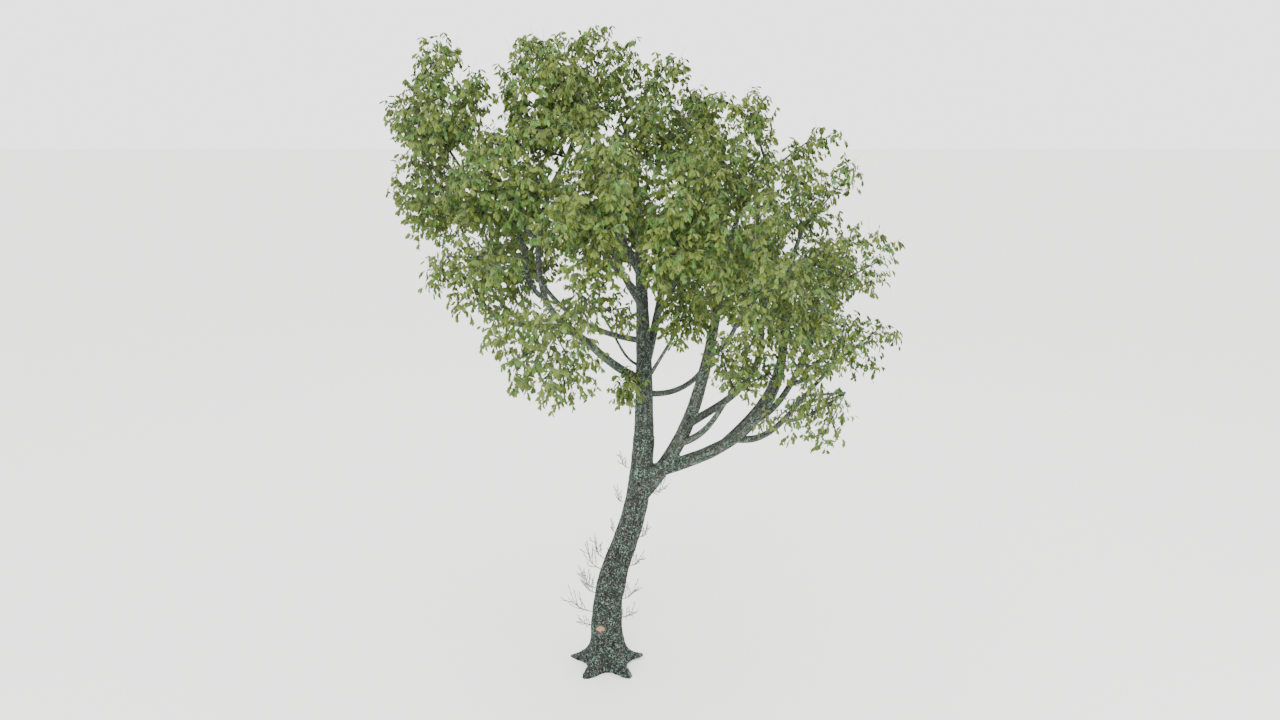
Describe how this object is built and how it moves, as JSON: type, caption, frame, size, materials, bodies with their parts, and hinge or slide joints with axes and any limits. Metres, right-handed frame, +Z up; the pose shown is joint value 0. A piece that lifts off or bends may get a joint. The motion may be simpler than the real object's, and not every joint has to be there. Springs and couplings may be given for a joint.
{
  "type": "red oak tree",
  "caption": "A leaning red oak tree in summer leaf: flared root collar, S-curved trunk, low fork, rising boughs and an open, one-sided crown.",
  "frame": {"origin": "middle of the flat cut under the trunk, at ground level", "axes": "+Z up, +X towards the side that the trunk leans and the big right bough reaches, +Y away from the viewer"},
  "size_m": [9.4137, 7.992, 12.1076],
  "materials": {
    "bark": "rough grey-green bark with pale lichen",
    "young bark": "smoother pale grey bark of young shoots",
    "oak leaf": "satin olive-green leaves on pale grey twigs"
  },
  "bodies": {
    "root": {"bough_back_right": "bark", "bough_crown_peak": "bark", "bough_high_back": "bark", "bough_high_front": "bark", "bough_left_back": "bark", "bough_low_left": "bark", "bough_middle": "bark", "bough_right": "bark", "bough_right_arc": "bark", "bough_right_inner": "bark", "bough_right_lower": "bark", "bough_right_upper": "bark", "coleader": "bark", "foliage_coleader_top": "oak leaf", "foliage_crown_left": "oak leaf", "foliage_crown_peak": "oak leaf", "foliage_far_left": "oak leaf", "foliage_fork_right": "oak leaf", "foliage_high_back": "oak leaf", "foliage_high_front": "oak leaf", "foliage_inner_left": "oak leaf", "foliage_leader_top": "oak leaf", "foliage_left_back": "oak leaf", "foliage_left_low": "oak leaf", "foliage_left_peak": "oak leaf", "foliage_left_shoulder": "oak leaf", "foliage_low_front": "oak leaf", "foliage_middle_back": "oak leaf", "foliage_middle_under": "oak leaf", "foliage_right_back": "oak leaf", "foliage_right_far_back": "oak leaf", "foliage_right_front": "oak leaf", "foliage_right_inner_front": "oak leaf", "foliage_right_low": "oak leaf", "foliage_right_outer": "oak leaf", "foliage_right_shoulder": "oak leaf", "foliage_right_skirt": "oak leaf", "foliage_right_tips": "oak leaf", "foliage_right_top": "oak leaf", "foliage_trunk_tuft": "oak leaf", "leader": "bark", "limb_far_left": "bark", "limb_fork_right": "bark", "limb_inner_left": "bark", "limb_left_peak": "bark", "limb_left_reach": "bark", "limb_left_shoulder": "bark", "limb_left_upright": "bark", "limb_low_front": "bark", "limb_middle_back": "bark", "limb_middle_front": "bark", "limb_middle_under": "bark", "limb_right_front": "bark", "limb_right_reach": "bark", "limb_right_skirt": "bark", "shoot_fork_left": "young bark", "shoot_low_left": "young bark", "shoot_low_right": "young bark", "shoot_mid_left": "young bark", "trunk": "bark"}
  },
  "joints": []
}
